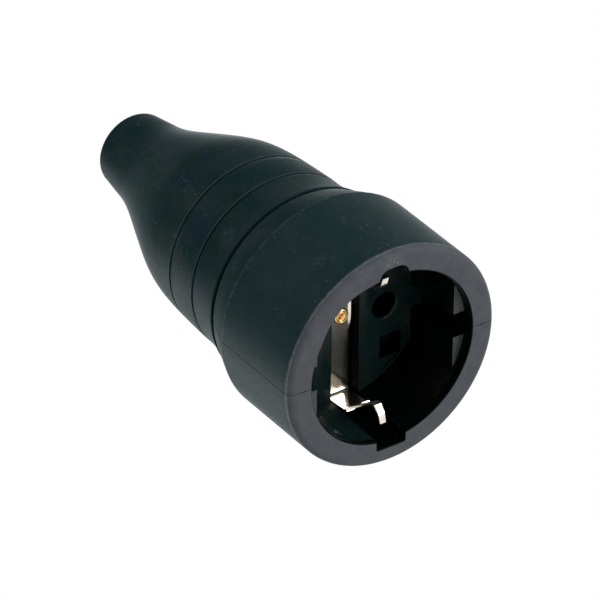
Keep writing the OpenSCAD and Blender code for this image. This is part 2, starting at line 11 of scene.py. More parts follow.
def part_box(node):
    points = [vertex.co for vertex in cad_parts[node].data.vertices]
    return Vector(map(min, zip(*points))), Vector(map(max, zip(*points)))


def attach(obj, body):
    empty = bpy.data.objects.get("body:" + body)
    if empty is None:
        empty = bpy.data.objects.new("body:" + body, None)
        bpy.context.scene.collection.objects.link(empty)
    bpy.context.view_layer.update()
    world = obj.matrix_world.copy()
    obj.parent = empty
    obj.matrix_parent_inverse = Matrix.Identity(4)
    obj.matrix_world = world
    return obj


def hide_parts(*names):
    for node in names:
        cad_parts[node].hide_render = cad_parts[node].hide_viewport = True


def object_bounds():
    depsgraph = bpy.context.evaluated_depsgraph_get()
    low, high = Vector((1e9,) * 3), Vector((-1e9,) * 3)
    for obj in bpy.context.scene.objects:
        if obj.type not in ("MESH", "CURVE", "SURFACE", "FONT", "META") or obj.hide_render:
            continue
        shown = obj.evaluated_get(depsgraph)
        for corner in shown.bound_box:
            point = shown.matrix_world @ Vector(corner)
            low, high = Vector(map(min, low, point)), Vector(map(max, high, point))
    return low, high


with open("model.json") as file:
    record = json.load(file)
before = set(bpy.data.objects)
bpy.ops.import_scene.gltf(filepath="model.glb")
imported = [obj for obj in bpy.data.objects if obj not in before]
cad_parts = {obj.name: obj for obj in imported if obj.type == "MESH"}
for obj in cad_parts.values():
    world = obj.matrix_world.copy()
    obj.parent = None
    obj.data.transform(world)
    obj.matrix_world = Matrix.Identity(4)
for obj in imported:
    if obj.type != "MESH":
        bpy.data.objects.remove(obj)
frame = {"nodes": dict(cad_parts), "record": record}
cad_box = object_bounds()

# Sizes below are in millimetres, and meshes are made in metres
MM = 0.001


def corners(node):
    """Lowest and highest corner of a node in millimetres."""
    low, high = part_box(node)
    return low / MM, high / MM


# Sizes that the frame gives
COLLAR_R = corners("rubber_housing")[1].y
LENGTH = corners("rubber_housing")[1].z
INSERT_R = corners("socket_insert")[1].y
INSERT_Z = corners("socket_insert")[0].z
PLATE_Z = corners("socket_insert")[1].z
STRAP_HALF_W = corners("earth_strap")[1].x
STRAP_BACK_Z = corners("earth_strap")[1].z
CLIP_TIP_Z = corners("earth_strap")[0].z
RIVET_TOP_Z = corners("strap_rivet")[0].z
RIVET_END_Z = corners("strap_rivet")[1].z
RIVET_END_R = corners("strap_rivet")[1].x
GRIP_END_Z = corners("contact_carrier")[1].z

# Sizes that the part's source names
SLIDE_GAP = 0.1
MOUTH_R = 19.5
CHANNEL_HALF_W = 3.35
CHANNEL_REACH = 21.3
ARCH_CORNER_R = 2 * CHANNEL_HALF_W / 3
SQUARE_CORNER_R = 0.3
RIM_ROUND = 1.4
COLLAR_OVERHANG = 1.6
FLARE_LENGTH = 7.4
FLARE_DROP = 2.9
FOOT_GROOVE_W = 0.9
FOOT_GROOVE_DEPTH = 0.8
RING_GROOVE_R = 0.35
FIRST_RING_GAP = 9.9
RING_PITCH = 8.75
WAIST_DROP = 1.5
WAIST_WALL = 3.05
NOSE_ROUND = 1.6
NOSE_WALL = 3.55
NOSE_TAPER = 1.6
CORD_HOLE_R = 5.0
CORD_HOLE_LENGTH = 13.0
STRAP_T = 0.6
STRAP_FOLD_NARROWING = 0.7
STRAP_NECK_NARROWING = 1.0
STRAP_FOLD_R = 0.8
CLIP_TONGUE_W = 2.0
CLIP_SHOULDER_Z = 11.8
CLIP_BACK_GAP = 2.2
CLIP_SPRING = 5.7
CLIP_CREST_Z = 5.4
CLIP_CREST_R = 1.3
CLIP_TIP_INSET = 1.7

# Shares by which the source draws the belly's curve and the clip's bend
WAIST_SHARE = 0.175
FLANK_SHARE = 0.62
NOSE_ROOT_SHARE = 0.89
FLANK_STEEP_SHARE = 1.12
FOOT_HOLD_SHARE = 0.38
WAIST_EASE_SHARE = 0.28
SHOULDER_DROP_SHARE = 0.6
SHOULDER_SHARE = 0.61
FLANK_HOLD_SHARE = 0.38
ROOT_EASE_SHARE = 0.35
CLIP_LEAN_SHARE = 0.1
CLIP_BEND_SHARE = 0.52

# Sizes that follow from them
LIP_T = INSERT_Z - SLIDE_GAP
COLLAR_LENGTH = PLATE_Z + COLLAR_OVERHANG
FOOT_R = COLLAR_R - FLARE_DROP
FOOT_Z = COLLAR_LENGTH + FLARE_LENGTH
BELLY_Z = FOOT_Z + FOOT_GROOVE_W
WAIST_R = FOOT_R - WAIST_DROP
NOSE_END_R = CORD_HOLE_R + NOSE_WALL
NOSE_ROOT_R = NOSE_END_R + NOSE_TAPER / 2
CAVITY_R = WAIST_R - WAIST_WALL
CAVITY_END_Z = LENGTH - CORD_HOLE_LENGTH
RING_ZS = [FOOT_Z + FIRST_RING_GAP, FOOT_Z + FIRST_RING_GAP + RING_PITCH]
STRAP_FACE_Z = STRAP_BACK_Z - STRAP_T
FOLD_Y = CHANNEL_REACH - CLIP_BACK_GAP
CREST_Y = FOLD_Y - CLIP_SPRING
CLIP_BEND_Z = CLIP_CREST_Z + CLIP_BEND_SHARE * (STRAP_FACE_Z - CLIP_CREST_Z)
CLIP_BEND = (FOLD_Y - CLIP_LEAN_SHARE * CLIP_SPRING, CLIP_BEND_Z)

# How the room for the cord narrows in the source: its step in radius, and the rise that it takes
GRIP_ROOM_STEP = 2.68
GRIP_ROOM_RISE = 4.32

# Small forms that only the looks have
LIP_EDGE = 0.45
LIP_BULGE = 0.8
LIP_BULGE_ANGLE = 232
LIP_BULGE_SPREAD = 26
CLIP_TIP_BEND = (0.5, 0.78)
CLIP_TIP_LIFT = 0.35
CLIP_TIP_TAPER = 0.3
STRAP_CURL = 0.26
LIP_FILLET = 0.4
HOLE_EDGE = 0.5
EDGE_R = 0.12
SEAM_DEPTH = 0.1
SEAM_HALF_W = 0.14
SEAM_ANGLES = [0, 0.08, 0.18, 0.3, 0.42, 0.6, 0.9]
SHOULDER_RUN = 2
SHOULDER_ROUND = 1.2
FOOT_ROUND = 0.25
GROOVE_ROUND = 0.2
BELLY_ROUND = 0.3
RING_W_SHARE = 0.95
RING_KEEP_SHARE = 1.3
RING_BLUNTNESS = 0.7
INSERT_EDGE = 0.15
INSERT_SHARP_DEPTH = 0.3
STRAP_FLAT_SHARE = 0.8
STRAP_CURL_LENGTH_SHARE = 0.24
STRAP_SWEEP_STEP = 0.6
CLIP_TIP_R = 3


def arc(centre, radius, start, stop, steps):
    """Points of an arc about a centre, from one angle to another in degrees."""
    angles = [math.radians(start + (stop - start) * i / steps) for i in range(steps + 1)]
    return [(centre[0] + radius * math.cos(a), centre[1] + radius * math.sin(a)) for a in angles]


def line(start, stop, steps):
    """Points of a straight line, without its ends."""
    shares = [i / steps for i in range(1, steps)]
    return [tuple(a + (b - a) * s for a, b in zip(start, stop)) for s in shares]


def curve(a, b, c, d, steps):
    """Points of a curve that leaves a towards b and reaches d from c, without a itself."""
    points = []
    for i in range(1, steps + 1):
        t = i / steps
        weights = ((1 - t) ** 3, 3 * t * (1 - t) ** 2, 3 * t * t * (1 - t), t ** 3)
        points.append(tuple(sum(w * p[k] for w, p in zip(weights, (a, b, c, d))) for k in (0, 1)))
    return points


def soften(points, radii, steps=5):
    """A path with a round bend in place of each inner corner that has a radius."""
    path = [points[0]]
    for before, corner, after, radius in zip(points, points[1:], points[2:], radii):
        here = Vector(corner)
        u = (Vector(before) - here).normalized()
        v = (Vector(after) - here).normalized()
        half = u.angle(v) / 2
        if radius == 0 or half > math.radians(89.5):
            path.append(tuple(corner))
            continue
        centre = here + (u + v).normalized() * radius / math.sin(half)
        start = here + u * radius / math.tan(half) - centre
        stop = here + v * radius / math.tan(half) - centre
        turn = start.angle(stop)
        for i in range(steps + 1):
            t = i / steps
            spoke = (start * math.sin((1 - t) * turn) + stop * math.sin(t * turn)) / math.sin(turn)
            path.append(tuple(centre + spoke))
    path.append(points[-1])
    return path


def notch_side(corner_r):
    """Half of a notch in the lip, from the mouth's circle to the middle of the notch's back."""
    corner = Vector((CHANNEL_HALF_W - corner_r, CHANNEL_REACH - corner_r))
    outer = MOUTH_R + LIP_FILLET
    centre = Vector((CHANNEL_HALF_W + LIP_FILLET, 0))
    centre.y = math.sqrt(outer ** 2 - centre.x ** 2)
    last = 180.0
    first_of_corner = 0.0
    if centre.y > corner.y:
        reach = corner_r + LIP_FILLET
        along = (outer ** 2 - reach ** 2 + corner.length_squared) / (2 * corner.length)
        across = math.sqrt(outer ** 2 - along ** 2)
        way = corner.normalized()
        centre = along * way + across * Vector((way.y, -way.x))
        first_of_corner = math.degrees(math.atan2(centre.y - corner.y, centre.x - corner.x))
        last = 180 + first_of_corner
    first = 180 + math.degrees(math.atan2(centre.y, centre.x))
    points = arc(centre, LIP_FILLET, first, last, 4)
    if first_of_corner == 0:
        points += line(points[-1], (CHANNEL_HALF_W, corner.y), 6)
    points += arc(corner, corner_r, first_of_corner, 90, 4 if corner_r < 1 else 10)
    return points + line(points[-1], (0, CHANNEL_REACH), 6) + [(0, CHANNEL_REACH)]


def mouth_r(angle):
    """The mouth's radius at an angle in degrees: the soft lip is pushed out near one notch."""
    away = min(abs(angle % 360 - LIP_BULGE_ANGLE) / LIP_BULGE_SPREAD, 1)
    return MOUTH_R + LIP_BULGE * (1 - away ** 2) ** 2


def circle_part(start, stop):
    """Points of the mouth's circle between two notches, close together near the seam."""
    middle = 180.0 * round((start + stop) / 360)
    near = SEAM_ANGLES[-1]
    steps = math.ceil(middle - near - start)
    angles = [start + (middle - near - start) * i / steps for i in range(steps)]
    before = angles + [middle - a for a in reversed(SEAM_ANGLES)]
    after = [2 * middle - a for a in reversed(before[:-1])]
    spots = [(mouth_r(a), math.radians(a)) for a in before + after]
    return [(r * math.cos(a), r * math.sin(a)) for r, a in spots]


def opening():
    """Outline of the mouth with its two notches, counter-clockwise from the lower right."""
    square = notch_side(SQUARE_CORNER_R)
    arched = notch_side(ARCH_CORNER_R)
    top = math.degrees(math.atan2(square[0][1], square[0][0]))
    foot = math.degrees(math.atan2(arched[0][1], arched[0][0]))
    right = circle_part(-foot, foot)
    right = [p for p in right if math.atan2(p[1], p[0]) < math.radians(top)]
    left = circle_part(180 - foot, 180 + foot)
    left = [p for p in left if math.atan2(p[1], -p[0]) < math.radians(top)]
    upper = square + [(-x, y) for x, y in reversed(square[:-1])]
    lower = [(-x, -y) for x, y in arched] + [(x, -y) for x, y in reversed(arched[:-1])]
    return right[1:] + upper + left[:-1] + lower


def belly_line():
    """The outer skin from the foot of the cone over waist and flank to the nose."""
    length = LENGTH - BELLY_Z
    waist_z = BELLY_Z + WAIST_SHARE * length
    flank_z = BELLY_Z + FLANK_SHARE * length
    root_z = BELLY_Z + NOSE_ROOT_SHARE * length
    waist_rise = waist_z - BELLY_Z
    flank_rise = flank_z - waist_z
    root_rise = root_z - flank_z
    flank_r = (WAIST_R + NOSE_ROOT_R) / 2
    flank_slope = FLANK_STEEP_SHARE * (WAIST_R - NOSE_ROOT_R) / (root_z - (flank_z + waist_z) / 2)
    nose_slope = (NOSE_ROOT_R - NOSE_END_R) / (LENGTH - root_z)
    foot = (FOOT_R, BELLY_Z)
    waist = (WAIST_R, waist_z)
    flank = (flank_r, flank_z)
    root = (NOSE_ROOT_R, root_z)
    after_foot = (FOOT_R - WAIST_DROP, BELLY_Z + FOOT_HOLD_SHARE * waist_rise)
    before_waist = (WAIST_R, waist_z - WAIST_EASE_SHARE * waist_rise)
    after_waist = (WAIST_R - SHOULDER_DROP_SHARE * WAIST_DROP, waist_z + SHOULDER_SHARE * flank_rise)
    before_rise = FLANK_HOLD_SHARE * flank_rise
    after_rise = FLANK_HOLD_SHARE * root_rise
    ease_rise = ROOT_EASE_SHARE * root_rise
    before_flank = (flank_r + before_rise * flank_slope, flank_z - before_rise)
    after_flank = (flank_r - after_rise * flank_slope, flank_z + after_rise)
    before_root = (NOSE_ROOT_R + ease_rise * nose_slope, root_z - ease_rise)
    to_waist = curve(foot, after_foot, before_waist, waist, 14)
    to_flank = curve(waist, after_waist, before_flank, flank, 18)
    to_root = curve(flank, after_flank, before_root, root, 18)
    return [foot] + to_waist + to_flank + to_root


def skin_r(path, z):
    """Radius of a path of radius and height at a height."""
    for (r0, z0), (r1, z1) in zip(path, path[1:]):
        if z0 <= z <= z1:
            return r0 + (r1 - r0) * (z - z0) / (z1 - z0)
    return path[-1][0]


def with_rings(path):
    """The skin's path with the two thin ring grooves cut into it."""
    half_w = RING_W_SHARE * RING_GROOVE_R
    reach = RING_KEEP_SHARE * half_w
    steps = 6
    for middle in RING_ZS:
        cut = []
        for i in range(-steps, steps + 1):
            z = middle + half_w * i / steps
            depth = RING_GROOVE_R * (0.5 + 0.5 * math.cos(math.pi * i / steps)) ** RING_BLUNTNESS
            cut.append((skin_r(path, z) - depth, z))
        below = [p for p in path if p[1] < middle - reach]
        above = [p for p in path if p[1] > middle + reach]
        path = below + cut + above
    return path


def housing_rows():
    """Rings of the housing as (kind, size, height, share of the seam), a closed loop."""
    rows = [("open", 0, LIP_T, 0), ("open", 0, LIP_T / 2, 0)]
    for size, z in arc((LIP_EDGE, LIP_EDGE), LIP_EDGE, 180, 270, 4):
        rows.append(("open", size, z, 0))
    rows += [("face", share, 0, 1) for share in (0.2, 0.5, 0.8)]
    rim = arc((COLLAR_R - RIM_ROUND, RIM_ROUND), RIM_ROUND, -90, 0, 8)
    rim += line((COLLAR_R, RIM_ROUND), (COLLAR_R, COLLAR_LENGTH), 9)
    rows += [("round", r, z, 1) for r, z in rim]
    groove_r = FOOT_R - FOOT_GROOVE_DEPTH
    belly = belly_line()
    edge = soften(
        [
            (COLLAR_R, COLLAR_LENGTH - SHOULDER_RUN), (COLLAR_R, COLLAR_LENGTH), (FOOT_R, FOOT_Z),
            (groove_r, FOOT_Z), (groove_r, BELLY_Z), (FOOT_R, BELLY_Z), belly[1],
        ],
        [SHOULDER_ROUND, FOOT_ROUND, GROOVE_ROUND, GROOVE_ROUND, BELLY_ROUND],
    )
    rows += [("round", r, z, 1) for r, z in edge]
    nose = arc((NOSE_END_R - NOSE_ROUND, LENGTH - NOSE_ROUND), NOSE_ROUND, 0, 90, 8)
    hole = arc((CORD_HOLE_R + HOLE_EDGE, LENGTH - HOLE_EDGE), HOLE_EDGE, 90, 180, 5)
    seat_r = INSERT_R + SLIDE_GAP
    seat_z = PLATE_Z + SLIDE_GAP
    inside = [
        (CORD_HOLE_R, CAVITY_END_Z), (CAVITY_R - GRIP_ROOM_STEP, GRIP_END_Z),
        (CAVITY_R, GRIP_END_Z - GRIP_ROOM_RISE), (CAVITY_R, seat_z), (seat_r, seat_z), (seat_r, LIP_T),
    ]
    return rows + [("round", r, z, 0) for r, z in with_rings(belly[2:]) + nose + hole + inside]


def new_object(name, mesh):
    """Puts a mesh into the scene as an object of that name."""
    piece = bpy.data.objects.new(name, mesh)
    bpy.context.scene.collection.objects.link(piece)
    return piece


def mesh_object(name, points, faces, sharp_angle):
    """An object from points in millimetres, shaded smooth up to an angle in degrees."""
    mesh = bpy.data.meshes.new(name)
    mesh.from_pydata([Vector(p) * MM for p in points], [], faces)
    finish_mesh(mesh, sharp_angle)
    return new_object(name, mesh)


def finish_mesh(mesh, sharp_angle):
    """Turns the faces outwards, and shades them smooth up to an angle in degrees."""
    shape = bmesh.new()
    shape.from_mesh(mesh)
    bmesh.ops.recalc_face_normals(shape, faces=shape.faces)
    shape.to_mesh(mesh)
    shape.free()
    mesh.shade_smooth()
    mesh.set_sharp_from_angle(angle=math.radians(sharp_angle))


def ring_faces(rings, columns, closed):
    """Four-sided faces between rings of as many points."""
    pairs = [(i, (i + 1) % rings) for i in range(rings if closed else rings - 1)]
    return [
        (a * columns + j, a * columns + (j + 1) % columns, b * columns + (j + 1) % columns, b * columns + j)
        for a, b in pairs
        for j in range(columns)
    ]


def seam_cut(across):
    """Depth of the mould's seam at a distance from its middle."""
    share = min(abs(across) / SEAM_HALF_W, 1)
    return SEAM_DEPTH * (1 - share ** 2)


def rubber_housing():
    """The moulded housing with its lip, notches, grooves, seam and bore."""
    outline = [Vector(p) for p in opening()]
    count = len(outline)
    rows = housing_rows()
    flows = []
    for i in range(count):
        along = (outline[(i + 1) % count] - outline[i - 1]).normalized()
        flows.append(Vector((along.y, -along.x)))
    points = []
    for kind, size, z, seam in rows:
        for spot, flow in zip(outline, flows):
            way = spot.normalized()
            depth = 0
            if seam > 0:
                radius = COLLAR_R if kind == "face" else size
                across = way.y * radius
                depth = seam * seam_cut(across)
            if kind == "open":
                here, height = spot + size * flow, z
            elif kind == "face":
                inner = spot + LIP_EDGE * flow
                here, height = inner.lerp(way * (COLLAR_R - RIM_ROUND), size), z + depth
            else:
                here, height = way * (size - depth), z
            points.append((here.x, here.y, height))
    faces = ring_faces(len(rows), count, True)
    return mesh_object("rubber_housing_skin", points, faces, 50)


def socket_insert():
    """The insert's solid with its flat faces joined and its edges rounded."""
    source = frame["nodes"]["socket_insert"].data
    shape = bmesh.new()
    shape.from_mesh(source)
    bmesh.ops.remove_doubles(shape, verts=shape.verts, dist=0.001 * MM)
    bmesh.ops.dissolve_limit(shape, angle_limit=math.radians(1), verts=shape.verts, edges=shape.edges)
    sharp = [
        e for e in shape.edges
        if len(e.link_faces) == 2 and e.calc_face_angle(0) > math.radians(30)
        and max(v.co.z for v in e.verts) > (INSERT_Z + INSERT_SHARP_DEPTH) * MM
    ]
    bmesh.ops.bevel(
        shape, geom=sharp, offset=INSERT_EDGE * MM, segments=2, profile=0.5,
        affect="EDGES", clamp_overlap=True,
    )
    mesh = bpy.data.meshes.new("socket_insert_moulded")
    shape.to_mesh(mesh)
    shape.free()
    mesh.shade_smooth()
    mesh.set_sharp_from_angle(angle=math.radians(20))
    return new_object("socket_insert_moulded", mesh)


def strap_half_width(y, z):
    """Half the strap's width at a place on its face, on the flat or on a clip."""
    fold = STRAP_HALF_W - STRAP_FOLD_NARROWING / 2
    neck = STRAP_HALF_W - STRAP_NECK_NARROWING / 2
    if z < CLIP_SHOULDER_Z:
        past_crest = max(CLIP_CREST_Z - z, 0) / (CLIP_CREST_Z - CLIP_TIP_Z)
        return CLIP_TONGUE_W / 2 * (1 - CLIP_TIP_TAPER * past_crest)
    shares = [(0, STRAP_HALF_W), (0.19, STRAP_HALF_W), (0.25, neck), (0.8, neck), (0.91, fold), (2, fold)]
    for (a, wide), (b, narrow) in zip(shares, shares[1:]):
        if a <= y / FOLD_Y <= b:
            return wide + (narrow - wide) * (y / FOLD_Y - a) / (b - a)
    return fold


def earth_strap():
    """The folded strap: its rounded section swept over the folds of both clips."""
    clip = [(0, STRAP_FACE_Z), (FOLD_Y, STRAP_FACE_Z), CLIP_BEND, (CREST_Y, CLIP_CREST_Z)]
    tip = (FOLD_Y - CLIP_TIP_INSET, CLIP_TIP_Z + CLIP_TIP_LIFT)
    run = [CREST_Y - tip[0], CLIP_CREST_Z - tip[1]]
    clip.append((CREST_Y - CLIP_TIP_BEND[0] * run[0], CLIP_CREST_Z - CLIP_TIP_BEND[1] * run[1]))
    clip.append(tip)
    path = [Vector(p) for p in soften(clip, [STRAP_FOLD_R, CLIP_CREST_R, CLIP_CREST_R, CLIP_TIP_R], 8)]
    dense = [path[0]]
    for a, b in zip(path, path[1:]):
        steps = max(1, math.ceil((b - a).length / STRAP_SWEEP_STEP))
        shares = [i / steps for i in range(1, steps + 1)]
        if b.y < CLIP_SHOULDER_Z < a.y:
            step = (a.y - CLIP_SHOULDER_Z) / (a.y - b.y)
            shares = sorted(shares + [step - 0.001, step + 0.001])
        dense += [a.lerp(b, share) for share in shares]
    half = []
    for i, here in enumerate(dense):
        ahead = dense[min(i + 1, len(dense) - 1)] - dense[max(i - 1, 0)]
        across = Vector((-ahead.y, ahead.x)).normalized()
        half.append((here, across, strap_half_width(here.x, here.y)))
    rings = [(Vector((-p.x, p.y)), Vector((-n.x, n.y)), w) for p, n, w in reversed(half[1:])] + half
    edge = EDGE_R
    margin_shares = [0.4, 0.78, 0.84, 0.92]
    section = arc((0, edge), edge, -90, 0, 3) + arc((0, STRAP_T - edge), edge, 0, 90, 3)
    points = []
    for here, across, wide in rings:
        right = [(share * (wide - edge), 0) for share in margin_shares]
        right += [(x + wide - edge, t) for x, t in section]
        loop = right + [(-x, t) for x, t in reversed(right)]
        middle = max(1 - abs(here.x) / (STRAP_CURL_LENGTH_SHARE * FOLD_Y), 0)
        for x, t in loop:
            out = max(abs(x) / STRAP_HALF_W - STRAP_FLAT_SHARE, 0) / (1 - STRAP_FLAT_SHARE)
            spot = here + across * (t - STRAP_CURL * min(2 * middle, 1) * out)
            points.append((x, spot.x, spot.y))
    columns = 2 * (len(margin_shares) + len(section))
    faces = ring_faces(len(rings), columns, False)
    faces.append(tuple(range(columns)))
    faces.append(tuple(range(len(points) - columns, len(points))))
    return mesh_object("earth_strap_folded", points, faces, 20)


def strap_rivet():
    """The hollow rivet, turned, with a rolled ring round its bore."""
    head_r = 1.85
    shank_r = 1.4
    face_z = STRAP_FACE_Z
    height = face_z - RIVET_TOP_Z
    bore_r = 0.3
    rolled_r = 0.12
    rolled_end_h = 0.75
    rolled_end_bevel = 0.3
    rolled_end_mouth_r = 0.7
    washer_z = RIVET_END_Z - rolled_end_h
    outline = soften(
        [
            (bore_r, washer_z), (bore_r, RIVET_TOP_Z + 0.4 * height), (0.52, RIVET_TOP_Z + 0.1 * height),
            (0.92, RIVET_TOP_Z + 0.08 * height), (1.06, RIVET_TOP_Z + 0.34 * height), (1.3, RIVET_TOP_Z),
            (head_r - rolled_r, RIVET_TOP_Z + 0.06 * height), (head_r, RIVET_TOP_Z + 0.5 * height),
            (head_r, face_z), (shank_r, face_z), (shank_r, washer_z), (RIVET_END_R, washer_z),
            (RIVET_END_R, RIVET_END_Z - rolled_end_bevel), (shank_r, RIVET_END_Z),
            (rolled_end_mouth_r, RIVET_END_Z), (bore_r, washer_z),
        ],
        [0, 0.1, 0.12, 0.1, 0.16, 0.3, 0, 0, 0, 0, 0, 0, 0, 0],
        4,
    )[:-1]
    columns = 64
    points = []
    for r, z in outline:
        for j in range(columns):
            turn = 2 * math.pi * j / columns
            points.append((r * math.cos(turn), r * math.sin(turn), z))
    return mesh_object("strap_rivet_turned", points, ring_faces(len(outline), columns, True), 50)


class Paint:
    """A procedural material: its Principled shader and short ways to add nodes to it."""

    def __init__(self, name, **sockets):
        self.material = bpy.data.materials.new(name)
        self.material.use_nodes = True
        self.tree = self.material.node_tree
        self.shader = self.tree.nodes["Principled BSDF"]
        self.place = self.add("ShaderNodeTexCoord").outputs["Object"]
        for socket, value in sockets.items():
            self.shader.inputs[socket.replace("_", " ")].default_value = value

    def add(self, kind, **settings):
        node = self.tree.nodes.new(kind)
        for name, value in settings.items():
            setattr(node, name, value)
        return node

    def wire(self, value, socket):
        if isinstance(value, bpy.types.NodeSocket):
            self.tree.links.new(value, socket)
        else:
            socket.default_value = value

    def noise(self, grain, detail=2.0, roughness=0.5, place=None):
        """Noise whose blotches are about as wide as the grain, in millimetres."""
        node = self.add("ShaderNodeTexNoise")
        self.wire(place or self.place, node.inputs["Vector"])
        node.inputs["Scale"].default_value = 1 / (grain * MM)
        node.inputs["Detail"].default_value = detail
        node.inputs["Roughness"].default_value = roughness
        return node.outputs["Fac"]

    def specks(self, spacing, size):
        """Small round specks, as a mask, a spacing apart and of a size in millimetres."""
        node = self.add("ShaderNodeTexVoronoi")
        self.wire(self.place, node.inputs["Vector"])
        node.inputs["Scale"].default_value = 1 / (spacing * MM)
        return self.ramp(node.outputs["Distance"], size / spacing, 0.5 * size / spacing)

    def ramp(self, value, low, high, out_low=0.0, out_high=1.0):
        """A value's smooth change from one level to another between two limits."""
        node = self.add("ShaderNodeMapRange", interpolation_type="SMOOTHSTEP")
        sockets = ("Value", "From Min", "From Max", "To Min", "To Max")
        for socket, given in zip(sockets, (value, low, high, out_low, out_high)):
            self.wire(given, node.inputs[socket])
        return node.outputs["Result"]

    def maths(self, operation, first, second=0.0, third=0.0):
        node = self.add("ShaderNodeMath", operation=operation)
        for socket, given in zip(node.inputs, (first, second, third)):
            self.wire(given, socket)
        return node.outputs["Value"]

    def times(self, *values):
        """The product of masks and numbers."""
        product = values[0]
        for value in values[1:]:
            product = self.maths("MULTIPLY", product, value)
        return product

    def along(self, value, none, full):
        """A mask over a length: none at the first place and full at the second, in millimetres."""
        return self.ramp(value, none * MM, full * MM)

    def stripe(self, value, middle, half_w, core):
        """A mask of a stripe round a place, full in its core, in millimetres."""
        away = self.maths("ABSOLUTE", self.maths("SUBTRACT", value, middle * MM))
        return self.along(away, half_w, core)

    def facing(self):
        """How far a surface faces the cord end: 1 for fully, -1 for away from it."""
        return self.split(self.add("ShaderNodeNewGeometry").outputs["Normal"])["Z"]

    def split(self, vector):
        node = self.add("ShaderNodeSeparateXYZ")
        self.wire(vector, node.inputs["Vector"])
        return node.outputs

    def near(self, spot, reach, core):
        """A mask round a place in millimetres: full within the core, none beyond the reach."""
        node = self.add("ShaderNodeVectorMath", operation="DISTANCE")
        self.wire(self.place, node.inputs[0])
        self.wire(tuple(c * MM for c in spot), node.inputs[1])
        return self.ramp(node.outputs["Value"], reach * MM, core * MM)

    def radius(self):
        """Distance from the part's axis, in metres."""
        spot = self.split(self.place)
        squares = [self.maths("MULTIPLY", spot[axis], spot[axis]) for axis in ("X", "Y")]
        return self.maths("SQRT", self.maths("ADD", *squares))

    def blend(self, share, first, second):
        node = self.add("ShaderNodeMix", data_type="RGBA")
        self.wire(share, node.inputs["Factor"])
        self.wire(first, node.inputs[6])
        self.wire(second, node.inputs[7])
        return node.outputs[2]

    def colour(self, value):
        self.wire(value, self.shader.inputs["Base Color"])

    def rough(self, value):
        self.wire(value, self.shader.inputs["Roughness"])

    def bump(self, height, strength, depth):
        """A relief from a height between 0 and 1, of a depth in millimetres."""
        node = self.add("ShaderNodeBump")
        node.inputs["Strength"].default_value = strength
        node.inputs["Distance"].default_value = depth * MM
        self.wire(height, node.inputs["Height"])
        self.wire(node.outputs["Normal"], self.shader.inputs["Normal"])


def rgb(red, green, blue):
    return (red, green, blue, 1.0)


# Small pits in the rubber, each with its size; they are painted dark as shade inside them
PITS = [
    ((-21.0, -0.6, 40.6), 0.42), ((-21.5, -0.6, 36.4), 0.4),
    ((-21.6, -1.3, 35.9), 0.3), ((-20.6, -1.2, 45.4), 0.3),
]

# Pale scuffs on belly and collar, each with its reach
SCUFFS = [
    ((-17.6, -8.2, 50.5), 2.2), ((-14.9, -14.5, 36.5), 3.2), ((-10.2, -22.9, 16.6), 1.4),
    ((-12.0, -22.0, 9.2), 2.4), ((-12.7, -21.6, 16.2), 1.0), ((-9.4, -23.2, 7.5), 1.3),
]

# Where wear, dust, painted light and shade and a raised sheen lie on the rubber, each as the place without
# and the place with all of it
RIM_EDGE = (COLLAR_R - 1.5, COLLAR_R - 0.7)
RIM_DUST_AND_SHEEN = (0.9, 0.3)
RAGGED_DUST_AND_SHEEN = (1.5, 0.7)
HAZE_START = (48, 68)
HAZE_END = (90, 80)
COLLAR_SHEEN = (COLLAR_LENGTH + 1, COLLAR_LENGTH - 1)
LIP_SHADE_REACH = (CHANNEL_REACH + 1, CHANNEL_REACH + 0.8)
LIP_SHADE_DEPTH = (LIP_T + 0.4, LIP_T + 0.2)
ARCH_REACH = (3.4, 1.2)

# How ragged the edge of the dust and painted sheen is, and the middle of the scratches above the arched
# notch
RAGGED_DEPTH = 0.9
ARCH_MIDDLE = (0, -CHANNEL_REACH - 0.4, 0)

# Thin lines on the rubber, each as its half width and the half width of its core: painted highlights above
# the ring grooves and on the shoulder, the rim's dotted line and the seam's lines
RING_HIGHLIGHT = (0.2, 0.05)
SHOULDER_HIGHLIGHT = (0.5, 0.1)
RIM_LINE = (0.22, 0.04)
SEAM_LIGHT = (0.34, 0.2)
SEAM_DARK = (0.13, 0.05)

# Heights of the lines: the painted highlight above the middle of each ring groove, and the dotted line
# above the rim
RING_HIGHLIGHT_OFFSET = 0.5
RIM_LINE_Z = 0.75

# How far a surface faces away from the cord end where it counts as sloped, and where as flat
SLOPED = -0.8
FLAT = -0.97


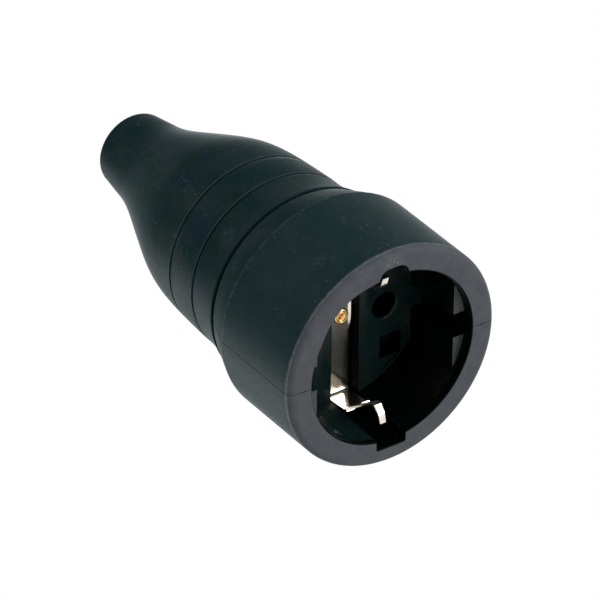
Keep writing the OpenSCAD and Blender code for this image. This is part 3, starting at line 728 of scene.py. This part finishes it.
def rubber_skin(paint, height, mottle):
    """Colour of the clean rubber: blotches, a collar painted paler as a painted sheen, rubbed spots,
    painted highlight lines and scuffs.
    """
    tints = rgb(0.0015, 0.0165, 0.0145), rgb(0.0025, 0.0155, 0.022)
    skin = paint.blend(paint.ramp(paint.noise(6, 4, 0.6), 0.4, 0.6), *tints)
    skin = paint.blend(paint.ramp(mottle, 0.4, 0.66), skin, rgb(0.009, 0.0215, 0.023))
    # Painted sheen: the collar is painted paler and bluer, as if lit
    patch = paint.ramp(paint.noise(3.2, 5, 0.65), 0.4, 0.62)
    lower = paint.blend(patch, rgb(0.012, 0.031, 0.031), rgb(0.016, 0.034, 0.042))
    skin = paint.blend(paint.times(paint.along(height, *COLLAR_SHEEN), 0.5), skin, lower)
    rubbed = paint.times(
        paint.ramp(paint.noise(1.1, 6, 0.75), 0.54, 0.68), paint.ramp(paint.noise(8, 3), 0.46, 0.6), 0.5
    )
    skin = paint.blend(rubbed, skin, rgb(0.03, 0.052, 0.058))
    # Painted highlight: a light line on the edge above each ring groove
    for ring_z in RING_ZS:
        ring_highlight = paint.stripe(height, ring_z + RING_HIGHLIGHT_OFFSET, *RING_HIGHLIGHT)
        skin = paint.blend(ring_highlight, skin, rgb(0.03, 0.047, 0.05))
    # Painted highlight: a broken light line along the collar's shoulder
    broken = paint.ramp(paint.noise(1.6, 5, 0.7), 0.4, 0.6)
    shoulder_highlight = paint.times(paint.stripe(height, COLLAR_LENGTH, *SHOULDER_HIGHLIGHT), broken, 0.6)
    skin = paint.blend(shoulder_highlight, skin, rgb(0.04, 0.062, 0.066))
    for scuff, reach in SCUFFS:
        worn = paint.ramp(paint.noise(0.8, 5, 0.7), 0.42, 0.62)
        worn = paint.times(paint.near(scuff, reach, 0.2 * reach), worn, 0.35)
        skin = paint.blend(worn, skin, rgb(0.05, 0.07, 0.085))
    return skin


def rim_dust_and_sheen(paint, skin, height, radius):
    """The skin with a rim painted grey for dust and for a painted sheen of the light it faces, a dotted
    line along its edge and scratches above the arched notch.
    """
    edge = paint.along(radius, *RIM_EDGE)
    flat = paint.ramp(paint.facing(), SLOPED, FLAT)
    ragged = paint.maths("ADD", height, paint.times(paint.noise(1.6, 5, 0.65), -RAGGED_DEPTH * MM))
    near = paint.times(paint.along(ragged, *RAGGED_DUST_AND_SHEEN), 0.9)
    rim = paint.maths("MAXIMUM", paint.along(height, *RIM_DUST_AND_SHEEN), near)
    rim = paint.times(paint.maths("MAXIMUM", flat, edge), rim)
    dust = paint.ramp(paint.noise(3.5, 6, 0.7), 0.3, 0.7)
    # Painted sheen as well as dust: the flat rim that faces the light is painted grey
    dusty_and_lit = paint.blend(dust, rgb(0.072, 0.077, 0.087), rgb(0.09, 0.095, 0.105))
    coat = paint.blend(rim, skin, dusty_and_lit)
    dots = paint.ramp(paint.noise(0.5, 4, 0.7), 0.44, 0.6, 0.1, 0.8)
    dotted = paint.times(paint.stripe(ragged, RIM_LINE_Z, *RIM_LINE), edge, dots)
    coat = paint.blend(dotted, coat, rgb(0.16, 0.175, 0.185))
    scratches = paint.ramp(paint.noise(0.45, 3, 0.6), 0.54, 0.62)
    scratched = paint.times(paint.near(ARCH_MIDDLE, *ARCH_REACH), scratches, flat, 0.5)
    return paint.blend(scratched, coat, rgb(0.3, 0.32, 0.33))


def mould_seam(paint, coat, spot, radius):
    """The coat with the mould's seam on collar and rim: a dark line between light edges."""
    away = paint.maths("ABSOLUTE", spot["Y"])
    outside = paint.maths("GREATER_THAN", radius, MOUTH_R * MM)
    collar = paint.times(outside, paint.along(spot["Z"], FOOT_Z, COLLAR_LENGTH))
    light = paint.times(collar, paint.along(away, *SEAM_LIGHT), 0.25)
    coat = paint.blend(light, coat, rgb(0.13, 0.14, 0.15))
    dark = paint.times(collar, paint.along(away, *SEAM_DARK), 0.8)
    return paint.blend(dark, coat, rgb(0.004, 0.01, 0.011))


def pale_specks(paint, coat):
    """The coat with fine and larger pale specks, in clusters."""
    fine = paint.times(paint.specks(0.6, 0.12), paint.ramp(paint.noise(5, 3), 0.45, 0.65), 0.3)
    marks = paint.times(paint.specks(1.3, 0.17), paint.ramp(paint.noise(7, 2), 0.44, 0.6), 0.6)
    coat = paint.blend(fine, coat, rgb(0.09, 0.11, 0.115))
    return paint.blend(marks, coat, rgb(0.16, 0.18, 0.19))


def rubber():
    """Dull black rubber with a scuffed rim painted grey for dust and painted sheen, fine specks and painted
    shade inside the lip.
    """
    paint = Paint("moulded_rubber", IOR=1.1, Sheen_Roughness=0.24)
    paint.shader.inputs["Sheen Tint"].default_value = rgb(0.78, 0.88, 0.93)
    spot = paint.split(paint.place)
    height = spot["Z"]
    radius = paint.radius()
    mottle = paint.noise(9, 5, 0.62)
    grain = paint.noise(0.5, 3, 0.6)
    shaded_pits = 0.0
    for pit, size in PITS:
        shaded_pits = paint.maths("MAXIMUM", paint.near(pit, size, 0.5 * size), shaded_pits)
    coat = rubber_skin(paint, height, mottle)
    coat = rim_dust_and_sheen(paint, coat, height, radius)
    coat = mould_seam(paint, coat, spot, radius)
    coat = pale_specks(paint, coat)
    # Painted shade: the pits are painted near black
    coat = paint.blend(shaded_pits, coat, rgb(0.001, 0.003, 0.004))
    # Painted shade: the lip's inner face is painted near black
    inside = paint.times(paint.along(radius, *LIP_SHADE_REACH), paint.ramp(paint.facing(), FLAT, SLOPED))
    inside = paint.times(inside, paint.along(height, *LIP_SHADE_DEPTH))
    paint.colour(paint.blend(inside, coat, rgb(0.0006, 0.0012, 0.0012)))
    haze = paint.times(paint.along(height, *HAZE_START), paint.along(height, *HAZE_END))
    sheen = paint.times(paint.ramp(haze, 0, 1, 0.2, 0.46), paint.ramp(shaded_pits, 1, 0))
    paint.wire(sheen, paint.shader.inputs["Sheen Weight"])
    paint.rough(paint.ramp(grain, 0.3, 0.7, 0.4, 0.54))
    paint.bump(paint.maths("ADD", grain, paint.times(mottle, 2.0)), 0.35, 0.05)
    return paint.material


# Where the insert's plastic is painted as lit or in shade, in millimetres of depth or beside the strap's
# channel
LEDGE_END = (6, 4)
FRONT_START = (1.8, 2.2)
BESIDE_CHANNEL = (-CHANNEL_HALF_W, -CHANNEL_HALF_W - 0.2)


def gloss_plastic():
    """Glossy black plastic: a teal tint of painted light on its front and beside the channel, ledges
    painted pale as if lit, a little dust.
    """
    paint = Paint("gloss_black_plastic", IOR=1.22)
    spot = paint.split(paint.place)
    haze = paint.noise(4, 4, 0.6)
    behind_lip = paint.along(spot["Z"], *FRONT_START)
    # Painted light: the ledges are painted pale as if lit
    lit_ledge = paint.times(paint.along(spot["Z"], *LEDGE_END), behind_lip)
    painted_light_tint = paint.blend(paint.ramp(haze, 0.3, 0.7), rgb(0.004, 0.0115, 0.0115), rgb(0.006, 0.015, 0.0145))
    painted_light_tint = paint.blend(lit_ledge, painted_light_tint, paint.blend(haze, rgb(0.02, 0.026, 0.026), rgb(0.09, 0.095, 0.095)))
    # Painted light on the wall beside the channel, painted shade on the other walls
    lit_beside_channel = paint.along(spot["X"], *BESIDE_CHANNEL)
    lit_and_shaded_wall = paint.blend(lit_beside_channel, rgb(0.0008, 0.0016, 0.0016), rgb(0.0045, 0.0135, 0.0125))
    # Painted light: the front that faces the light gets the teal tint
    front = paint.times(paint.ramp(paint.facing(), -0.6, -0.9), behind_lip)
    coat = paint.blend(front, lit_and_shaded_wall, painted_light_tint)
    dust = paint.times(paint.specks(2.3, 0.14), paint.ramp(paint.noise(5, 2), 0.55, 0.65), 0.5)
    paint.colour(paint.blend(dust, coat, rgb(0.3, 0.32, 0.3)))
    paint.rough(paint.ramp(haze, 0.3, 0.7, 0.16, 0.28))
    paint.bump(paint.noise(0.8, 3), 0.15, 0.01)
    return paint.material


def carrier_plastic():
    """Matt black plastic with a fine moulded grain."""
    paint = Paint("matt_black_plastic", IOR=1.45)
    grain = paint.noise(0.35, 3, 0.6)
    paint.colour(paint.blend(grain, rgb(0.012, 0.013, 0.014), rgb(0.024, 0.025, 0.027)))
    paint.rough(paint.ramp(grain, 0.3, 0.7, 0.45, 0.6))
    paint.bump(grain, 0.3, 0.03)
    return paint.material


# The clip's plate painted dark as a painted reflection of the dark recess: its slanted start, and its reach
# in depth and to the side
PATCH_SLOPE = 0.38
PATCH_START = -6.15
PATCH_SOFTNESS = 0.25
PATCH_TOP = (18.4, 18.2)
PATCH_FOOT = (12.3, 12.7)
PATCH_SIDE = (17.6, 17.8)


def painted_dark_reflection(paint):
    """A mask of the painted dark reflection on one side of the clip's plate below the square notch."""
    spot = paint.split(paint.place)
    slant = paint.maths("ADD", spot["X"], paint.times(spot["Z"], -PATCH_SLOPE))
    side = paint.along(slant, PATCH_START - PATCH_SOFTNESS, PATCH_START + PATCH_SOFTNESS)
    plate = paint.times(paint.along(spot["Z"], *PATCH_TOP), paint.along(spot["Z"], *PATCH_FOOT))
    plate = paint.times(plate, paint.along(spot["Y"], *PATCH_SIDE))
    return paint.times(side, plate, 0.85)


def metal(name, shine, tarnish, smooth, dull, grain, drawn):
    """Metal with a drawn or plated grain: two colours, two roughnesses, a grain in millimetres."""
    paint = Paint(name, Metallic=1.0)
    stretched = paint.add("ShaderNodeMapping")
    paint.wire(paint.place, stretched.inputs["Vector"])
    stretched.inputs["Scale"].default_value = drawn
    fine = paint.noise(grain, 2, 0.6, stretched.outputs["Vector"])
    cloud = paint.noise(2.5, 3, 0.6)
    coat = paint.blend(paint.ramp(cloud, 0.35, 0.75), rgb(*shine), rgb(*tarnish))
    # Painted reflection: a patch of the clip's plate is painted dark where it would mirror the dark recess
    if name == "satin_nickel":
        coat = paint.blend(painted_dark_reflection(paint), coat, rgb(0.1, 0.08, 0.06))
    paint.colour(coat)
    paint.rough(paint.ramp(fine, 0.48, 0.66, smooth, dull))
    paint.bump(fine, 0.1, 0.005)
    return paint.material


MATERIALS = {
    "housing_rubber": rubber(),
    "insert_plastic": gloss_plastic(),
    "carrier_plastic": carrier_plastic(),
    "nickel_plate": metal(
        "satin_nickel", (0.86, 0.81, 0.73), (0.76, 0.69, 0.59), 0.07, 0.42, 0.05, (1, 0.4, 1)
    ),
    "bare_brass": metal("brass", (0.95, 0.68, 0.34), (0.82, 0.48, 0.17), 0.15, 0.32, 0.15, (1, 1, 1)),
    "spring_steel": metal("spring_steel", (0.5, 0.51, 0.53), (0.4, 0.41, 0.44), 0.25, 0.4, 0.12, (1, 1, 4)),
    "zinc_steel": metal("zinc_steel", (0.7, 0.71, 0.73), (0.6, 0.62, 0.66), 0.28, 0.42, 0.2, (1, 1, 1)),
}


def dress(piece, slot_name):
    """Gives a piece the material of a slot in place of what it had."""
    piece.data.materials.clear()
    piece.data.materials.append(MATERIALS[slot_name])


def dress_frame():
    """Puts each node's own material on it."""
    for part in frame["record"]["subparts"]:
        dress(frame["nodes"][part["node"]], part["material_slot"])


def add_pieces():
    """Puts the detailed pieces in the place of the plain solids."""
    pieces = (
        ("rubber_housing", rubber_housing, "housing_rubber"),
        ("socket_insert", socket_insert, "insert_plastic"),
        ("earth_strap", earth_strap, "nickel_plate"),
        ("strap_rivet", strap_rivet, "bare_brass"),
    )
    for node, make, slot_name in pieces:
        piece = make()
        dress(piece, slot_name)
        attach(piece, "root")
        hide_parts(node)


def white_where_seen(tree, shader_out, plain, white):
    """Mixes a plain shader with one that camera and transmission rays see."""
    path = tree.nodes.new("ShaderNodeLightPath")
    either = tree.nodes.new("ShaderNodeMath")
    either.operation = "MAXIMUM"
    tree.links.new(path.outputs["Is Camera Ray"], either.inputs[0])
    tree.links.new(path.outputs["Is Transmission Ray"], either.inputs[1])
    mix = tree.nodes.new("ShaderNodeMixShader")
    tree.links.new(either.outputs["Value"], mix.inputs["Fac"])
    tree.links.new(plain, mix.inputs[1])
    tree.links.new(white, mix.inputs[2])
    tree.links.new(mix.outputs["Shader"], shader_out)


def make_world():
    """A soft light, darker overhead in reflections, that shows as white."""
    world = bpy.data.worlds.new("studio")
    bpy.context.scene.world = world
    world.use_nodes = True
    tree = world.node_tree
    soft = tree.nodes["Background"]
    soft.inputs["Color"].default_value = rgb(1, 1, 1)
    ray = tree.nodes.new("ShaderNodeLightPath")
    way = tree.nodes.new("ShaderNodeTexCoord")
    parts = tree.nodes.new("ShaderNodeSeparateXYZ")
    tree.links.new(way.outputs["Generated"], parts.inputs["Vector"])
    mirrored = tree.nodes.new("ShaderNodeMapRange")
    mirrored.interpolation_type = "SMOOTHSTEP"
    tree.links.new(parts.outputs["Z"], mirrored.inputs["Value"])
    for name, value in (("From Min", 0.72), ("From Max", 0.95), ("To Min", 1.0), ("To Max", 0.1)):
        mirrored.inputs[name].default_value = value
    level = tree.nodes.new("ShaderNodeMix")
    tree.links.new(ray.outputs["Is Glossy Ray"], level.inputs["Factor"])
    level.inputs["A"].default_value = 0.6
    tree.links.new(mirrored.outputs["Result"], level.inputs["B"])
    tree.links.new(level.outputs["Result"], soft.inputs["Strength"])
    white = tree.nodes.new("ShaderNodeBackground")
    white.inputs["Color"].default_value = rgb(1, 1, 1)
    white.inputs["Strength"].default_value = 1.0
    out = tree.nodes["World Output"].inputs["Surface"]
    white_where_seen(tree, out, soft.outputs["Background"], white.outputs["Background"])


# Soft lamps round the part: the way to each one, its distance and width in metres, its power in watts
LAMPS = {
    "key_lamp": ((0.48, -0.37, -0.8), 0.8, 0.33, 2.6),
    "right_lamp": ((0.6, -0.7, -0.3), 0.8, 0.4, 0.9),
    "left_lamp": ((-0.45, 0.6, 0.6), 0.8, 0.45, 2.7),
    "high_lamp": ((-0.45, -0.5, 0.75), 0.9, 0.5, 1.4),
    "back_lamp": ((0.6, 0.6, 0.5), 0.9, 0.5, 0.8),
}


def make_lamps():
    middle = (cad_box[0] + cad_box[1]) / 2
    for name, (way, distance, width, power) in LAMPS.items():
        data = bpy.data.lights.new(name, "AREA")
        data.shape = "DISK"
        data.size = width
        data.energy = power
        lamp = bpy.data.objects.new(name, data)
        away = Vector(way).normalized()
        lamp.location = middle + away * distance
        lamp.rotation_mode = "QUATERNION"
        lamp.rotation_quaternion = away.to_track_quat("Z", "Y")
        lamp.visible_camera = False
        bpy.context.scene.collection.objects.link(lamp)


# The floor lies just under the rim, and the camera looks up past its open underside
FLOOR_R = 0.6
FLOOR_Z = cad_box[0].z - 0.2 * MM


def make_floor():
    """A pale floor that takes the part's shadow from above and lets light through from below."""
    shape = bmesh.new()
    bmesh.ops.create_circle(shape, cap_ends=True, segments=96, radius=FLOOR_R)
    mesh = bpy.data.meshes.new("floor")
    shape.to_mesh(mesh)
    shape.free()
    floor = new_object("floor", mesh)
    floor.location.z = FLOOR_Z
    paint = Paint("pale_floor", Roughness=0.9, IOR=1.0)
    paint.shader.inputs["Base Color"].default_value = rgb(0.82, 0.82, 0.81)
    tree = paint.tree
    path = paint.add("ShaderNodeLightPath")
    side = paint.add("ShaderNodeNewGeometry")
    front = paint.maths("SUBTRACT", 1.0, side.outputs["Backfacing"])
    fade = paint.ramp(paint.radius(), FLOOR_R, 0.4 * FLOOR_R)
    shown = paint.maths("MULTIPLY", paint.maths("MULTIPLY", path.outputs["Is Camera Ray"], front), fade)
    clear = paint.add("ShaderNodeBsdfTransparent")
    mix = paint.add("ShaderNodeMixShader")
    tree.links.new(shown, mix.inputs["Fac"])
    tree.links.new(clear.outputs["BSDF"], mix.inputs[1])
    tree.links.new(paint.shader.outputs["BSDF"], mix.inputs[2])
    tree.links.new(mix.outputs["Shader"], tree.nodes["Material Output"].inputs["Surface"])
    mesh.materials.append(paint.material)


# The photograph's viewpoint, in metres: a long lens that looks up at the mouth
CAMERA_PLACE = Vector((-0.584958, -0.672172, -0.804549))
CAMERA_TARGET = Vector((0.008819, 0.014229, 0.045152))
CAMERA_UP = Vector((0.30757, -0.833668, 0.458697))
CAMERA_LENS = 361.6
SENSOR_WIDTH = 36


def make_camera():
    data = bpy.data.cameras.new("camera")
    data.lens = CAMERA_LENS
    data.sensor_width = SENSOR_WIDTH
    data.clip_start = 0.05
    data.clip_end = 20
    camera = bpy.data.objects.new("camera", data)
    bpy.context.scene.collection.objects.link(camera)
    forward = (CAMERA_TARGET - CAMERA_PLACE).normalized()
    right = forward.cross(CAMERA_UP).normalized()
    up = right.cross(forward)
    turn = Matrix((right, up, -forward)).transposed()
    camera.matrix_world = Matrix.Translation(CAMERA_PLACE) @ turn.to_4x4()
    bpy.context.scene.camera = camera


make_camera()
make_world()
make_lamps()
make_floor()
dress_frame()
add_pieces()
bpy.context.scene.view_settings.view_transform = "Standard"
